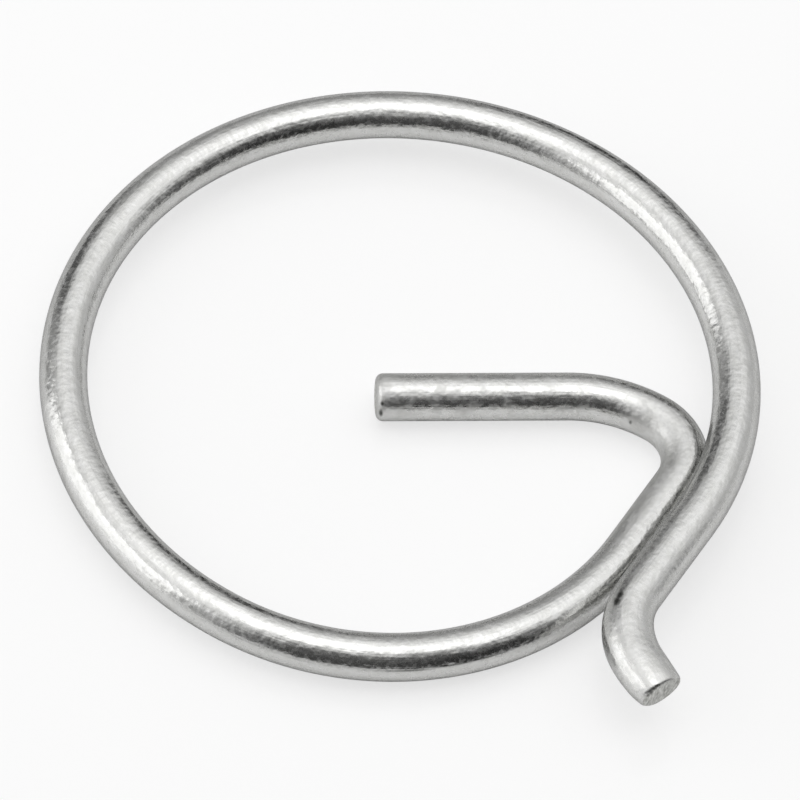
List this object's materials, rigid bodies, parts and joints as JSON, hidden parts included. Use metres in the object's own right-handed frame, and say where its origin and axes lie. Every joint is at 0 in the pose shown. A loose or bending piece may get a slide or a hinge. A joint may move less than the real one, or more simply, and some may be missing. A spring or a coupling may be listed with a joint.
{
  "type": "split ring",
  "caption": "Ring of bent round spring wire with a straight leg across its inside for a cross-drilled hole, and an out-turned tab to pull it off by.",
  "frame": {"origin": "on the straight leg's axis, abreast of the ring's centre, 0.4 mm from it", "axes": "+X along the leg from its free end towards the heel, +Z square to the ring, towards the side that the tab's end climbs to; -Y is the side where the tab leaves the ring"},
  "size_m": [0.03, 0.032, 0.0035],
  "materials": {
    "wire": "bright drawn spring steel wire, thinly zinc plated, with fine draw lines along it and light scuffs"
  },
  "bodies": {
    "root": {"split_ring": "wire"}
  },
  "joints": []
}
